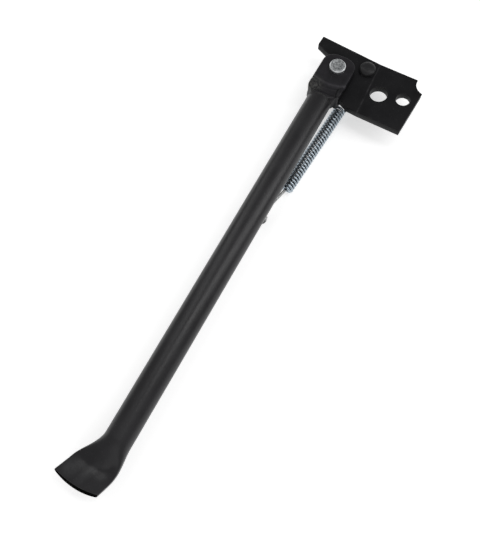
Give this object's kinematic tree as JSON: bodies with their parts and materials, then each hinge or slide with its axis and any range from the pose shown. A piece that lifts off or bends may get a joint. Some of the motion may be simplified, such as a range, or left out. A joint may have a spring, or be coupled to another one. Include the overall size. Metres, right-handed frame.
{
  "type": "motorcycle side stand",
  "caption": "Folding side stand: flat bracket plate with frame bolt holes, forked tubular leg with a flattened foot, pivot pin and over-centre coil spring.",
  "frame": {"origin": "centre of the larger frame bolt hole, at the middle of the plate's thickness", "axes": "+Z along the pivot axis towards the pin's head, the leg runs along -Y with the stand lying flat, the bolt holes are towards +X"},
  "size_m": [0.1074, 0.3688, 0.0319],
  "materials": {
    "black_paint": "satin black paint on steel",
    "zinc": "zinc plated, dull",
    "spring_zinc": "zinc plated spring wire"
  },
  "bodies": {
    "bracket": {"bracket_plate": "black_paint", "spring_stud": "black_paint"},
    "leg": {"fork": "black_paint", "fork_weld": "black_paint", "leg_tube": "black_paint", "pivot_pin": "zinc", "pivot_washer": "zinc", "split_pin": "zinc", "leg_peg": "black_paint", "peg_weld": "black_paint"},
    "spring": {"spring": "spring_zinc"},
    "spring_tail": {"spring_tail": "spring_zinc"}
  },
  "joints": [
    {"name": "leg_fold", "type": "hinge", "parent": "bracket", "child": "leg", "pos_m": [-0.0363, 0.0049, -0.00086], "axis": [0, 0, -1], "range_deg": [0, 96]},
    {"name": "spring_swing", "type": "hinge", "parent": "bracket", "child": "spring", "pos_m": [-0.01601, 0.01631, -0.00086], "axis": [0, 0, -1], "range_deg": [0, 84], "deforming": ["spring"]},
    {"name": "tail_swing", "type": "hinge", "parent": "leg", "child": "spring_tail", "pos_m": [-0.0395, -0.1191, -0.01646], "axis": [0, 0, -1], "range_deg": [-13.9, 0], "deforming": ["spring_tail"]}
  ],
  "couplings": [
    {"joint": "spring_swing", "follows": "leg_fold", "ratio": 0.858},
    {"joint": "tail_swing", "follows": "leg_fold", "ratio": -0.142}
  ]
}
